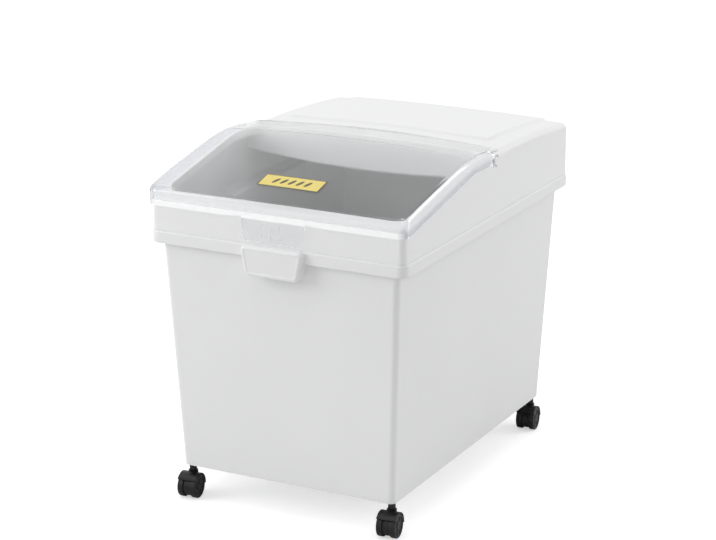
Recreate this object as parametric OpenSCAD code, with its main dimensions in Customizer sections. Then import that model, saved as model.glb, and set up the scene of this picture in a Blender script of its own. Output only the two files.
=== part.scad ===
// Ingredient bin for rice and other dry food: a tapered tub on four twin-wheel
// casters, closed by a lift-off cover that carries a clear flip lid.
// Millimetres, +Z up, front towards -Y, origin on the floor under the middle.

/* [Tub] */
// Width of the tub outside, just under its lip
tub_w = 342.5; // [300:0.5:400]
// Depth of the tub outside, just under its lip
tub_d = 504; // [440:0.5:560]
// Width of the tub outside, at its bottom edge
base_w = 314; // [280:0.5:336]
// Depth of the tub outside, at its bottom edge
base_d = 469; // [410:0.5:498]
// Height of the tub from its bottom edge to the underside of its lip
tub_h = 313; // [240:1:380]
// Height of the tub's bottom edge above the floor
stand_h = 46; // [44:0.5:60]
// Thickness of the tub's walls
tub_wall = 3; // [2:0.1:4]
// Thickness of the tub's floor
tub_floor = 3.5; // [2.5:0.1:5]
// Depth of the recess under the tub's floor
foot_h = 10; // [8:0.5:14]
// Radius of the tub's upright corners
tub_corner_r = 8.5; // [6:0.5:14]
// Thickness of the ribs under the floor and inside the lip
rib_t = 2.5; // [1.5:0.1:3.5]

/* [Lip] */
// Reach of the lip beyond the tub's side walls
lip_reach_x = 13.75; // [11:0.25:18]
// Reach of the lip beyond the tub's front and back walls
lip_reach_y = 9; // [7:0.25:14]
// Height of the lip
lip_h = 17; // [12:0.5:24]
// Thickness of the lip
lip_wall = 3; // [2:0.1:4]
// Radius of the lip's corners
lip_corner_r = 13; // [10:0.5:18]
// Height of the upstand that centres the cover
upstand_h = 10; // [6:0.5:14]
// Thickness of the upstand
upstand_t = 2.5; // [2:0.1:3.5]

/* [Pull grip] */
// Width of the pull grip over its upper corners
grip_w = 92; // [70:1:110]
// Height of the pull grip below the top of the lip
grip_h = 40; // [30:1:55]
// Reach of the pull grip beyond the lip
grip_reach = 10; // [8:0.5:16]
// Thickness of the pull grip's wall
grip_wall = 3.5; // [2.5:0.1:4.5]
// Radius of the pull grip's upper corners
grip_top_r = 11; // [8:0.5:14]
// Radius of the pull grip's lower corners
grip_low_r = 8; // [6:0.5:10]
// How much narrower each side of the grip is at its foot
grip_taper = 8; // [4:0.5:12]
// Width of the rounded edge round the grip's face
grip_edge = 5; // [3:0.5:7]

/* [Cover] */
// Distance from the lip's edge in to the cover's walls
cover_inset = 2; // [1.5:0.25:5]
// Thickness of the cover's walls and deck
cover_wall = 3; // [2.4:0.1:4]
// Gap between the cover's walls and the upstand
cover_gap = 0.6; // [0.4:0.1:1]
// Radius of the cover's upright corners
cover_corner_r = 9; // [7:0.5:12]
// Radius of the rounded shoulders along the deck
shoulder_r = 8; // [6:0.5:10]
// Height of the cover's front wall above the lip
cover_front_h = 46; // [40:1:60]
// Slope of the rails beside the mouth, in degrees
rail_slope = 11; // [9:0.25:14]
// Height of the deck's side edges above the lip
deck_h = 84; // [78:1:95]
// Fall of the deck's side edges from the hinge to the rear
deck_fall = 12; // [4:0.5:16]
// Crown of the deck across its width, at the hinge
deck_crown = 6; // [3:0.25:7]
// Crown of the deck across its width, at the rear
rear_crown = 3; // [1:0.25:5]
// Width of the raised panel on the deck
panel_w = 296; // [240:1:310]
// Height of the raised panel
panel_h = 2.5; // [1:0.25:4]
// Width of the rails on each side of the mouth
rail_w = 12; // [11:0.5:24]
// Width of the rail in front of the mouth
front_rail_w = 20; // [12:0.5:30]
// Depth of the rim that hangs down round the mouth
mouth_rim_h = 8; // [5:0.5:12]
// Thickness of the rim round the mouth
mouth_rim_t = 2.5; // [2:0.1:3.5]
// Radius of the mouth's corners
mouth_corner_r = 18; // [12:1:26]

/* [Hinge] */
// Place of the hinge line behind the middle of the bin
hinge_y = 6; // [0:1:20]
// Depth of the hinge line below the deck's side edges
hinge_drop = 10; // [9:0.25:11]
// Radius of the trough at the middle of the bin
trough_r_mid = 32.5; // [32:0.25:36]
// Radius of the trough at the sides of the bin
trough_r_end = 22.5; // [22:0.25:25]
// Distance from the hinge line forward to the trough's front wall
trough_front = 14; // [12:0.5:18]
// Gap between the lid's rear edge and the trough
trough_gap = 1; // [0.8:0.1:1.5]
// Radius of the hinge pins
pin_r = 3; // [2.5:0.1:3.5]
// Length of the hinge pins' shanks
pin_len = 17; // [14:0.5:22]
// Radius of the hinge pins' heads
pin_head_r = 5; // [4.5:0.1:5.5]
// Thickness of the hinge pins' heads
pin_head_t = 1.7; // [1.2:0.1:2]
// Radial running clearance of the lid on its pins
pin_clear = 0.06; // [0.03:0.01:0.1]
// Radius of the lid's round ears
ear_r = 8.5; // [8:0.1:9]
// How far the lid's ears sink into the cover's walls
ear_sink = 2; // [1.5:0.1:2.2]
// Radius of the bosses inside the cover that hold the pins
pin_boss_r = 8; // [6.5:0.1:9]
// Length of the bosses inside the cover
pin_boss_len = 11; // [9:0.5:14]

/* [Lid] */
// Thickness of the clear lid
lid_t = 2.5; // [2:0.1:3]
// Gap between the lid's skirt and the cover's side walls
lid_gap = 0.8; // [0.6:0.1:1]
// Gap between the lid's skirt and the cover's front wall
lid_front_gap = 1.5; // [1:0.1:2.5]
// How far the skirt laps down over the cover
skirt_lap = 12; // [9:0.5:15]
// Height of the lid's front edge above the cover's front rim
lid_front_rise = 11; // [8:0.5:16]
// Height of the lid's side edges above the deck, at their peak
lid_rise = 8.5; // [6:0.5:13]
// Place of the lid's peak behind the middle of the bin
lid_peak_y = -66; // [-110:1:-40]
// Crown of the lid across its width, at its peak
lid_crown = 7.5; // [4:0.25:9]
// Height of the lid's rear edge above the deck's side edges
lid_rear_rise = 0.5; // [0.3:0.1:1]
// Radius of the lid's upper edges
lid_edge_r = 7; // [5:0.5:9]
// Radius of the lid's upright corners
lid_corner_r = 12; // [9:0.5:14]
// Width of the finger tab at the lid's front
tab_w = 92; // [70:1:110]
// Height of the finger tab below the skirt
tab_h = 28; // [20:1:32]
// How far the finger tab leans out at its foot
tab_lean = 4; // [2:0.5:6]
// Radius of the finger tab's lower corners
tab_corner_r = 7; // [5:0.5:10]

/* [Casters] */
// Diameter of the caster wheels
wheel_d = 32; // [30:0.5:34]
// Width of one wheel
wheel_w = 8.1; // [7:0.1:10]
// Distance from the swivel stem back to the axle
caster_trail = 8; // [7:0.5:9]
// Turn of the casters about their stems, in degrees
caster_turn = 5; // [-45:1:45]
// Distance from the tub's side to the stems
caster_inset_x = 8; // [7.5:0.5:12]
// Distance from the tub's front and back to the stems
caster_inset_y = 11.5; // [9:0.5:16]
// Thickness of the caster body between the wheels
web_w = 9.6; // [9:0.1:11]
// Thickness of the hood over the wheels
hood_t = 1.5; // [1.2:0.1:2]
// Gap between the hood and the wheels
hood_gap = 1; // [0.6:0.1:1.2]
// Gap between each wheel and the caster body
wheel_gap = 0.3; // [0.2:0.05:0.5]
// Radius of the axle
axle_r = 2; // [1.6:0.1:2.5]
// Radial running clearance of the wheels on the axle
axle_clear = 0.05; // [0.03:0.01:0.1]
// Radius of the stem where the caster body turns on it
journal_r = 3; // [2.5:0.1:3.2]
// Radius of the stem's neck between the caster body and the tub
neck_r = 5; // [4.4:0.1:5.4]
// Radius of the stem's shank in its sleeve
shank_r = 4; // [3.5:0.1:4.1]
// Length of the stem's shank
shank_len = 14; // [12:0.5:18]
// Wall thickness of the sleeve
sleeve_wall = 1.5; // [1.2:0.1:1.6]

/* [Hidden] */

$fn = 48;
eps = 0.01;
big = 1000;
hull_fn = 32;

white = [0.93, 0.93, 0.92];
clear = [0.80, 0.88, 0.92, 0.45];
black = [0.10, 0.10, 0.11];
steel = [0.62, 0.63, 0.65];

// Heights of the tub, from the floor up
z_lip = stand_h + tub_h;
z_seat = z_lip + lip_h;
z_floor = stand_h + foot_h;
lip_w = tub_w + 2 * lip_reach_x;
lip_d = tub_d + 2 * lip_reach_y;

// Outline and heights of the cover
cover_w = lip_w - 2 * cover_inset;
cover_d = lip_d - 2 * cover_inset;
z_rim = z_seat + cover_front_h;
z_deck = z_seat + deck_h;
crest_y = hinge_y + 24;
panel_y = crest_y + 28;
panel_ramp = 4;

// Hinge line and trough
hinge_z = z_deck - hinge_drop;
trough_half = cover_w / 2 - cover_wall - 0.5;
pin_out = cover_w / 2 + lid_gap + lid_t - 0.1;

// Outline and heights of the lid
lid_w = cover_w + 2 * (lid_gap + lid_t);
lid_front = -cover_d / 2 - lid_front_gap - lid_t;
lid_rear = hinge_y + trough_r_mid + 4;
notch_y = hinge_y - trough_front;
notch_half = trough_half - 0.7;

// Caster sizes, in each caster's own frame
wheel_r = wheel_d / 2;
hood_r = wheel_r + hood_gap + hood_t;
hood_w = web_w + 2 * (wheel_gap + wheel_w);
boss_top = wheel_r + hood_r + 1;
sleeve_flange_t = 1.5;
sleeve_z = stand_h + 0.5 + sleeve_flange_t;
sleeve_len = shank_len + 1.5;
sleeve_r = shank_r + 0.02 + sleeve_wall;
sleeve_flange_r = sleeve_r + 0.6;
socket_r = sleeve_r + 1.5;
head_t = 2.6;
head_r = journal_r + 0.8;

// Height of the rails beside the mouth
function rail_z(y) = z_rim + (y + cover_d / 2) * tan(rail_slope);

// Height of the deck's side edges behind the hinge
function deck_z(y) = z_deck - deck_fall * pow(max(0, y - crest_y) / (cover_d / 2 - crest_y), 2);

// Height of the cover's side edges
function edge_z(y) = min(rail_z(y), deck_z(y));

// Crown of the cover across its width
function crown_z(y) = y < crest_y
  ? deck_crown * (1 - pow((y - crest_y) / (cover_d / 2 + crest_y), 2))
  : deck_crown - (deck_crown - rear_crown) * pow((y - crest_y) / (cover_d / 2 - crest_y), 2);

// Height of the raised panel, which ramps up at its front edge
function panel_z(y) = panel_h * min(1, max(0, (y - panel_y) / panel_ramp));

// Height of the lid's side edges
function lid_z(y) = y < lid_peak_y
  ? z_deck + lid_rise
    - (z_deck + lid_rise - z_rim - lid_front_rise) * pow((lid_peak_y - y) / (lid_peak_y - lid_front), 1.7)
  : z_deck + lid_rise - (lid_rise - lid_rear_rise) * pow((y - lid_peak_y) / (crest_y - lid_peak_y), 2);

// Crown of the lid across its width
function lid_crown_z(y) = y < lid_peak_y
  ? lid_crown * (1 - pow((y - lid_peak_y) / (lid_front - lid_peak_y), 2))
  : lid_crown + (deck_crown - lid_crown) * (y - lid_peak_y) / (crest_y - lid_peak_y);

// How far a round edge of radius r has dropped at distance d from the end
function round_drop(r, d) = d >= r ? 0 : r - sqrt(r * r - (r - d) * (r - d));

// Places along Y that a rounded end of radius r needs
function end_steps(r) = [for (a = [0:18:90]) r * (1 - cos(a))];

// Cross-section with upright sides, rounded shoulders and a crowned top
function section(half, z0, z1, r, crown, step_half, step_h) =
  let (
    left = [for (a = [0:18:90]) [-half + r * (1 - cos(a)), z1 - r + r * sin(a)]],
    tops = [-step_half - 3, -step_half, -0.75 * step_half, -0.5 * step_half, -0.25 * step_half, 0],
    points = concat([[-half, z0]], left, [for (x = tops) [x, z1]])
  )
  concat(
    [for (p = points) lift(p, half, z0, crown, step_half, step_h)],
    [for (i = [len(points) - 2:-1:0]) flip(lift(points[i], half, z0, crown, step_half, step_h))]
  );
function lift(p, half, z0, crown, step_half, step_h) = p.y <= z0
  ? p
  : [p.x, p.y + crown * (1 - pow(p.x / half, 2)) + (p.x >= -step_half ? step_h : 0)];
function flip(p) = [-p.x, p.y];

// Solid skinned over cross-sections that stand at the places ys along Y
module loft(ys, sections) {
  n = len(sections[0]);
  points = [for (i = [0:len(ys) - 1]) for (p = sections[i]) [p.x, ys[i], p.y]];
  sides = [for (i = [0:len(ys) - 2]) for (j = [0:n - 1]) for (half = [0, 1])
    let (a = i * n + j, b = i * n + (j + 1) % n)
    half == 0 ? [a, a + n, b + n] : [a, b + n, b]];
  front = [[for (j = [0:n - 1]) j]];
  back = [[for (j = [n - 1:-1:0]) (len(ys) - 1) * n + j]];
  polyhedron(points, concat(front, sides, back), convexity = 6);
}

// Flat rectangle with round corners, about the middle
module rounded_rect(w, d, r) {
  square([w - 2 * r, d], center = true);
  square([w, d - 2 * r], center = true);
  for (x = [-1, 1])
    for (y = [-1, 1])
      translate([x * (w / 2 - r), y * (d / 2 - r)])
        circle(r);
}

// Block whose sides slope from one rounded outline to another
module drafted_block(z0, size0, z1, size1, r) {
  hull() {
    translate([0, 0, z0])
      linear_extrude(eps)
        rounded_rect(size0.x, size0.y, r, $fn = hull_fn);
    translate([0, 0, z1 - eps])
      linear_extrude(eps)
        rounded_rect(size1.x, size1.y, r, $fn = hull_fn);
  }
}

// Upright frame between two rounded outlines
module rounded_frame(z, h, w, d, r, t) {
  translate([0, 0, z])
    linear_extrude(h)
      difference() {
        rounded_rect(w, d, r);
        rounded_rect(w - 2 * t, d - 2 * t, max(r - t, 1));
      }
}

// Size of the tub's outside at height z, less t on every side
function tub_size(z, t) =
  let (f = (z - stand_h) / tub_h)
  [base_w + (tub_w - base_w) * f - 2 * t, base_d + (tub_d - base_d) * f - 2 * t];

// Places the children at each caster's stem: front left, front right, rear left, rear right
module at_caster(side, end) {
  translate([side * (base_w / 2 - caster_inset_x), end * (base_d / 2 - caster_inset_y), 0])
    children();
}

// Round rod along Y in the grip's face, at a corner of its outline
module grip_rod(x, z, r, y0, y1) {
  translate([x, y1, z])
    rotate([90, 0, 0])
      cylinder(r = r, h = y1 - y0, $fn = hull_fn);
}

// Cup-shaped pull grip in the middle of the lip's front
module grip_block() {
  face_y = -lip_d / 2 - grip_reach;
  top_x = grip_w / 2 - grip_top_r;
  low_x = grip_w / 2 - grip_taper - grip_low_r;
  top_z = z_seat - grip_top_r;
  low_z = z_seat - grip_h + grip_low_r;
  hull()
    for (side = [-1, 1]) {
      grip_rod(side * top_x, top_z, grip_top_r, face_y + grip_edge, -tub_d / 2 + 1);
      grip_rod(side * low_x, low_z, grip_low_r, face_y + grip_edge, -tub_d / 2 + 2);
      grip_rod(side * top_x, top_z, grip_top_r - grip_edge + 1, face_y, face_y + 1);
      grip_rod(side * low_x, low_z, grip_low_r - grip_edge + 1, face_y, face_y + 1);
    }
}

// Finger space behind the grip's face, open downwards
module grip_space() {
  face_y = -lip_d / 2 - grip_reach + grip_wall;
  low_half = grip_w / 2 - grip_taper - grip_wall;
  top_half = grip_w / 2 - grip_wall - 2;
  top_z = z_seat - lip_wall - 2;
  translate([0, -tub_d / 2 + 0.5, 0])
    rotate([90, 0, 0])
      linear_extrude(-tub_d / 2 + 0.5 - face_y)
        polygon([[-low_half, z_seat - grip_h - 1], [-top_half, top_z - 12], [-top_half + 8, top_z],
          [top_half - 8, top_z], [top_half, top_z - 12], [low_half, z_seat - grip_h - 1]]);
}

module bin_tub() {
  low = tub_size(stand_h, 0);
  high = tub_size(z_seat - lip_wall, 0);
  rib_depth = foot_h - 4;
  color(white)
    difference() {
      union() {
        difference() {
          union() {
            drafted_block(stand_h, low, z_seat - lip_wall, high, tub_corner_r);
            rounded_frame(z_lip, lip_h, lip_w, lip_d, lip_corner_r, lip_wall);
            rounded_frame(z_seat - lip_wall, lip_wall, lip_w, lip_d, lip_corner_r, lip_reach_x + tub_wall);
            rounded_frame(z_seat - eps, upstand_h + eps, cover_w - 2 * (cover_wall + cover_gap),
              cover_d - 2 * (cover_wall + cover_gap), cover_corner_r - cover_wall, upstand_t);
            lip_ribs();
            grip_block();
          }
          drafted_block(z_floor + tub_floor, tub_size(z_floor + tub_floor, tub_wall),
            z_seat + 1, tub_size(z_seat + 1, tub_wall), tub_corner_r - tub_wall);
          drafted_block(stand_h - 1, tub_size(stand_h - 1, tub_wall),
            z_floor, tub_size(z_floor, tub_wall), tub_corner_r - tub_wall);
          grip_space();
        }
        floor_ribs(rib_depth);
        for (side = [-1, 1])
          for (end = [-1, 1])
            at_caster(side, end)
              translate([0, 0, sleeve_z])
                cylinder(r = socket_r, h = sleeve_len + 2.5);
      }
      for (side = [-1, 1])
        for (end = [-1, 1])
          at_caster(side, end) {
            translate([0, 0, sleeve_z - 1])
              cylinder(r = sleeve_r + 0.02, h = sleeve_len + 1.3);
            translate([0, 0, stand_h - 1])
              cylinder(r = sleeve_flange_r + 0.3, h = sleeve_z - stand_h + 1);
          }
    }
}

// Ribs that brace the lip's channel
module lip_ribs() {
  reach_x = lip_w / 2 - lip_wall / 2;
  reach_y = lip_d / 2 - lip_wall / 2;
  for (side = [-1, 1]) {
    for (i = [-2:2])
      translate([side * (tub_w / 2 + reach_x) / 2, i * tub_d / 6, z_seat - lip_h / 2])
        cube([reach_x - tub_w / 2 + 2, rib_t, lip_h - 4], center = true);
    for (i = [-1, 1])
      translate([i * tub_w / 4, side * (tub_d / 2 + reach_y) / 2, z_seat - lip_h / 2])
        cube([rib_t, reach_y - tub_d / 2 + 2, lip_h - 4], center = true);
  }
}

// Ribs across the recess under the floor
module floor_ribs(depth) {
  for (i = [-1:1])
    translate([0, i * base_d / 4, z_floor - depth / 2 + eps])
      cube([base_w - tub_wall, rib_t, depth], center = true);
  for (i = [-1, 1])
    translate([i * base_w / 6, 0, z_floor - depth / 2 + eps])
      cube([rib_t, base_d - tub_wall, depth], center = true);
}

// Cover's solid form, less t all round, from z0 up
module cover_form(t, z0) {
  half_w = cover_w / 2 - t;
  half_d = cover_d / 2 - t;
  r = cover_corner_r - t;
  bend_y = (z_deck - z_rim) / tan(rail_slope) - cover_d / 2;
  inner = [-150, bend_y - 8, bend_y, bend_y + 8, -30, crest_y, panel_y, panel_y + panel_ramp, 90, 130, 170, 210];
  stations = concat([for (s = end_steps(r)) s - half_d], inner, [for (a = [90:-18:0]) half_d - r * (1 - cos(a))]);
  loft(stations, [for (y = stations)
    let (d = half_d - abs(y), drop = round_drop(r, d), front = y < 0)
    section(half_w - drop, z0, edge_z(y) - t - (front ? min(drop, 1.5) : drop), shoulder_r - t,
      crown_z(y), panel_w / 2 - t / 2, panel_z(y))]);
}

// Barrel-shaped solid about the hinge line, which r_less makes thinner
module hinge_barrel(half, r_less) {
  steps = 16;
  curve = [for (i = [-steps / 2:steps / 2])
    let (u = 2 * i / steps)
    [trough_r_mid - (trough_r_mid - trough_r_end) * u * u - r_less, u * half]];
  translate([0, hinge_y, hinge_z])
    rotate([0, 90, 0])
      rotate_extrude($fn = 96)
        polygon(concat([[0, -half]], curve, [[0, half]]));
}

// Half space behind the place y
module behind(y) {
  translate([-big / 2, y, 0])
    cube([big, big, big]);
}

// Cylinder along X about the hinge line, from x0 out to x1 on one side
module hinge_disc(side, x0, x1, r) {
  translate([side * x0, hinge_y, hinge_z])
    rotate([0, side * 90, 0])
      cylinder(r = r, h = x1 - x0);
}

// Upright prism over the mouth of the cover, made wider all round by grow
module mouth_prism(grow) {
  w = cover_w - 2 * rail_w + 2 * grow;
  y0 = -cover_d / 2 + front_rail_w - grow;
  y1 = hinge_y - trough_front - cover_wall + grow;
  translate([0, (y0 + y1) / 2, z_seat])
    linear_extrude(big / 4)
      rounded_rect(w, y1 - y0, mouth_corner_r + grow);
}

module top_cover() {
  color(white)
    difference() {
      union() {
        difference() {
          cover_form(0, z_seat);
          cover_form(cover_wall, z_seat - 5);
        }
        intersection() {
          difference() {
            mouth_prism(mouth_rim_t);
            translate([0, 0, -mouth_rim_h])
              cover_form(cover_wall, z_seat - 5);
          }
          cover_form(eps, z_seat + eps);
        }
        intersection() {
          hinge_barrel(trough_half + cover_wall, -cover_wall);
          behind(hinge_y - trough_front - cover_wall);
          cover_form(eps, z_seat + eps);
        }
        for (side = [-1, 1])
          hinge_disc(side, cover_w / 2 - pin_boss_len, cover_w / 2 - 1, pin_boss_r);
      }
      mouth_prism(0);
      difference() {
        intersection() {
          hinge_barrel(trough_half, 0);
          behind(hinge_y - trough_front);
        }
        for (side = [-1, 1])
          hinge_disc(side, cover_w / 2 - pin_boss_len, cover_w / 2, pin_boss_r);
      }
      for (side = [-1, 1]) {
        hinge_disc(side, cover_w / 2 - ear_sink - 0.3, cover_w / 2 + 5, ear_r + 0.6);
        hinge_disc(side, cover_w / 2 - pin_boss_len - 5, cover_w / 2 + 5, pin_r + 0.01);
      }
    }
}

// Lid's solid form, less t all round, with its underside lowered by drop
module lid_form(t, lower) {
  half_w = lid_w / 2 - t;
  r = lid_corner_r - t;
  edge_r = lid_edge_r - t;
  y0 = lid_front + t;
  middle = [-225, -185, -145, -105, lid_peak_y, -40, -15, 5, 20, lid_rear + lower];
  stations = concat([for (s = end_steps(r)) y0 + s], middle);
  loft(stations, [for (y = stations)
    let (d = y - y0)
    section(half_w - round_drop(r, d), edge_z(max(y, -cover_d / 2)) - skirt_lap - lower,
      lid_z(y) - t - round_drop(edge_r, d), edge_r, lid_crown_z(y), lid_w / 2 - 30, 0)]);
}

// Finger tab that hangs from the middle of the lid's front
module finger_tab() {
  top_z = z_rim - skirt_lap;
  low_x = tab_w / 2 - tab_corner_r - 5;
  low_z = top_z - tab_h + tab_corner_r;
  hull() {
    translate([-tab_w / 2, lid_front, top_z + 3])
      cube([tab_w, lid_t, 1]);
    for (side = [-1, 1])
      translate([side * low_x, lid_front - tab_lean + lid_t, low_z])
        rotate([90, 0, 0])
          cylinder(r = tab_corner_r, h = lid_t, $fn = hull_fn);
  }
  for (i = [-1:1])
    translate([i * 12, lid_front - tab_lean / 2 - 0.3, top_z - tab_h / 2])
      rotate([-atan(tab_lean / tab_h), 0, 0])
        cube([2.4, 2, tab_h - 12], center = true);
}

module flip_lid() {
  ear_in = cover_w / 2 - ear_sink;
  color(clear)
    difference() {
      union() {
        difference() {
          lid_form(0, 0);
          lid_form(lid_t, 6);
          difference() {
            translate([-notch_half, hinge_y, 0])
              cube([2 * notch_half, big, big]);
            hinge_barrel(trough_half, trough_gap);
          }
          for (side = [-1, 1]) {
            translate([side > 0 ? notch_half : -notch_half - big, notch_y, z_deck - 1.5])
              cube([big, big, big]);
            translate([side > 0 ? notch_half : -notch_half - big, hinge_y, 0])
              cube([big, big, big]);
          }
        }
        finger_tab();
        for (side = [-1, 1])
          hinge_disc(side, ear_in, lid_w / 2, ear_r);
      }
      for (side = [-1, 1]) {
        hinge_disc(side, ear_in - 5, lid_w / 2 + 5, pin_r + pin_clear);
        hinge_disc(side, pin_out - pin_head_t - 0.1, lid_w / 2 + 5, pin_head_r + 0.2);
      }
    }
}

module hinge_pin(side) {
  color(white) {
    hinge_disc(side, pin_out - pin_head_t - pin_len, pin_out - pin_head_t + eps, pin_r);
    hinge_disc(side, pin_out - pin_head_t, pin_out, pin_head_r);
  }
}

// Sleeve that lines the tub's socket
module stem_sleeve() {
  color(black)
    difference() {
      union() {
        translate([0, 0, sleeve_z - sleeve_flange_t])
          cylinder(r = sleeve_flange_r, h = sleeve_flange_t);
        translate([0, 0, sleeve_z - eps])
          cylinder(r = sleeve_r, h = sleeve_len);
      }
      translate([0, 0, sleeve_z - 5])
        cylinder(r = shank_r + 0.02, h = sleeve_len + 10);
    }
}

// Steel stem: riveted head, journal, neck and shank on one axis
module caster_stem() {
  neck_z = boss_top + 0.3;
  head_z = boss_top - 20;
  color(steel)
    rotate_extrude()
      polygon([[0, head_z], [head_r - 0.5, head_z], [head_r, head_z + 0.5], [head_r, head_z + head_t],
        [journal_r, head_z + head_t], [journal_r, neck_z], [neck_r - 0.5, neck_z], [neck_r, neck_z + 0.5],
        [neck_r, sleeve_z - sleeve_flange_t], [shank_r, sleeve_z - sleeve_flange_t],
        [shank_r, sleeve_z + shank_len - 1], [shank_r - 1, sleeve_z + shank_len], [0, sleeve_z + shank_len]]);
}

// Outline in the plane of the wheels, set along the axle
module across_axle(w) {
  translate([-w / 2, -caster_trail, wheel_r])
    rotate([90, 0, 90])
      linear_extrude(w)
        children();
}

module caster_body() {
  reach = 2 * hood_r;
  color(black)
    difference() {
      union() {
        across_axle(hood_w)
          intersection() {
            circle(hood_r);
            polygon([[0, 0], [reach, -reach * tan(5)], [reach, reach], [-reach * tan(48), reach]]);
          }
        across_axle(web_w)
          circle(wheel_r - 2);
        translate([0, 0, wheel_r + hood_r - 5])
          cylinder(r = neck_r + 1.6, h = boss_top - wheel_r - hood_r + 5);
      }
      for (side = [-1, 1])
        translate([side * (web_w / 2 + hood_w / 2), 0, 0])
          across_axle(hood_w)
            circle(wheel_r + hood_gap);
      cylinder(r = journal_r + 0.05, h = big);
      cylinder(r = head_r + 0.2, h = boss_top - 20 + head_t + 0.3);
      across_axle(hood_w)
        circle(axle_r + 0.01);
    }
}

// Steel axle with a flat head sunk in each wheel
module caster_axle() {
  half = hood_w / 2 - 0.3;
  color(steel)
    translate([0, -caster_trail, wheel_r])
      rotate([0, 90, 0])
        rotate_extrude()
          polygon([[0, -half], [axle_r + 0.8, -half], [axle_r + 0.8, -half + 0.8], [axle_r, -half + 0.8],
            [axle_r, half - 0.8], [axle_r + 0.8, half - 0.8], [axle_r + 0.8, half], [0, half]]);
}

// Hard wheel with a dished web, on one side of the caster body
module caster_wheel(side) {
  bore = axle_r + axle_clear;
  hub = axle_r + 3;
  rim = wheel_r - 2.8;
  web = wheel_w - 3.4;
  color(black)
    translate([side * (web_w / 2 + wheel_gap), -caster_trail, wheel_r])
      rotate([0, side * 90, 0])
        rotate_extrude($fn = 96)
          polygon([[bore, 0], [hub, 0], [hub, web], [rim, web], [rim, 0], [wheel_r - 0.8, 0],
            [wheel_r, 0.8], [wheel_r, wheel_w - 1.6], [wheel_r - 0.5, wheel_w - 0.5],
            [wheel_r - 1.6, wheel_w], [rim, wheel_w], [rim - 1, wheel_w - 1.2], [hub + 1, wheel_w - 1.2],
            [hub, wheel_w], [axle_r + 1.1, wheel_w], [axle_r + 1.1, wheel_w - 1.2], [bore, wheel_w - 1.2]]);
}

// Turns a caster part to the angle at which the casters stand
module turned() {
  rotate([0, 0, caster_turn])
    children();
}

// Moves every piece back, so that the bin's box is centred over the origin
module placed() {
  translate([0, grip_reach / 2, 0])
    children();
}

placed() bin_tub();
placed() top_cover();
placed() flip_lid();
placed() hinge_pin(-1);  // hinge_pin_left
placed() hinge_pin(1);  // hinge_pin_right
placed() at_caster(-1, -1) stem_sleeve();  // stem_sleeve_front_left
placed() at_caster(-1, -1) caster_stem();  // caster_stem_front_left
placed() at_caster(-1, -1) turned() caster_body();  // caster_body_front_left
placed() at_caster(-1, -1) turned() caster_axle();  // caster_axle_front_left
placed() at_caster(-1, -1) turned() caster_wheel(-1);  // outer_wheel_front_left
placed() at_caster(-1, -1) turned() caster_wheel(1);  // inner_wheel_front_left
placed() at_caster(1, -1) stem_sleeve();  // stem_sleeve_front_right
placed() at_caster(1, -1) caster_stem();  // caster_stem_front_right
placed() at_caster(1, -1) turned() caster_body();  // caster_body_front_right
placed() at_caster(1, -1) turned() caster_axle();  // caster_axle_front_right
placed() at_caster(1, -1) turned() caster_wheel(1);  // outer_wheel_front_right
placed() at_caster(1, -1) turned() caster_wheel(-1);  // inner_wheel_front_right
placed() at_caster(-1, 1) stem_sleeve();  // stem_sleeve_rear_left
placed() at_caster(-1, 1) caster_stem();  // caster_stem_rear_left
placed() at_caster(-1, 1) turned() caster_body();  // caster_body_rear_left
placed() at_caster(-1, 1) turned() caster_axle();  // caster_axle_rear_left
placed() at_caster(-1, 1) turned() caster_wheel(-1);  // outer_wheel_rear_left
placed() at_caster(-1, 1) turned() caster_wheel(1);  // inner_wheel_rear_left
placed() at_caster(1, 1) stem_sleeve();  // stem_sleeve_rear_right
placed() at_caster(1, 1) caster_stem();  // caster_stem_rear_right
placed() at_caster(1, 1) turned() caster_body();  // caster_body_rear_right
placed() at_caster(1, 1) turned() caster_axle();  // caster_axle_rear_right
placed() at_caster(1, 1) turned() caster_wheel(1);  // outer_wheel_rear_right
placed() at_caster(1, 1) turned() caster_wheel(-1);  // inner_wheel_rear_right
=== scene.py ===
import bpy
import bmesh
import math
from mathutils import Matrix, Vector


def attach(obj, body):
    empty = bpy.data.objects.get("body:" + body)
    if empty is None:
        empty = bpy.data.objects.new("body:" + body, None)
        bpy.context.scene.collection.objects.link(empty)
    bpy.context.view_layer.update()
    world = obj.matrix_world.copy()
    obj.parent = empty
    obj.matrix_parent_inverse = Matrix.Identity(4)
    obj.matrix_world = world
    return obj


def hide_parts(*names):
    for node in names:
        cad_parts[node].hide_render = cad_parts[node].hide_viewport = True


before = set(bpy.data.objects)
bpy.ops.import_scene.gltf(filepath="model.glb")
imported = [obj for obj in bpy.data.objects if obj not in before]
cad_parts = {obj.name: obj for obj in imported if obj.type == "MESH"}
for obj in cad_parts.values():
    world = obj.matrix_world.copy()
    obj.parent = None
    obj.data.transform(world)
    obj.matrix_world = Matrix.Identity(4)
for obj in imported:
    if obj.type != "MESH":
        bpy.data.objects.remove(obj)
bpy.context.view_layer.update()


# ---- Tub -------------------------------------------------------------------
# A deep tapered tub, injection moulded in white polypropylene with a satin skin.
# Its lip, upstand, ribs, caster sockets and pull grip are all one moulding. The
# walls are drawn up ring by ring from the recessed floor, and the rest is added.

def nothing_selected():
    if bpy.context.object and bpy.context.object.mode != "OBJECT":
        bpy.ops.object.mode_set(mode="OBJECT")
    bpy.ops.object.select_all(action="DESELECT")


def take_up(piece):
    """Selects this piece alone, in object mode, as the one that operators work on."""
    nothing_selected()
    piece.select_set(True)
    bpy.context.view_layer.objects.active = piece


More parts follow.
